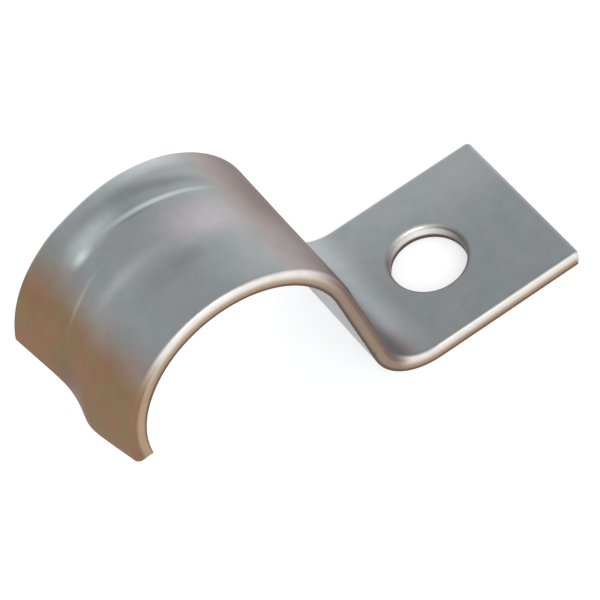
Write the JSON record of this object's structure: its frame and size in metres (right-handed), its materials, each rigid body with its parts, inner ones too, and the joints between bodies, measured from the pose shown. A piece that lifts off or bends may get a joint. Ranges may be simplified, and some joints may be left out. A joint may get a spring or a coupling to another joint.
{
  "type": "conduit strap",
  "caption": "Bent sheet steel strap with a flat tab and bolt hole, a leg, and an open grooved saddle that hooks over a round conduit.",
  "frame": {"origin": "centre of the bolt hole on the wall side of the tab", "axes": "+Z away from the wall along the bolt, +Y along the conduit, +X from the saddle to the tab's end"},
  "size_m": [0.043, 0.016, 0.0229],
  "materials": {
    "zinc_plated_steel": "zinc plated, dull satin"
  },
  "bodies": {
    "root": {"strap": "zinc_plated_steel"}
  },
  "joints": []
}
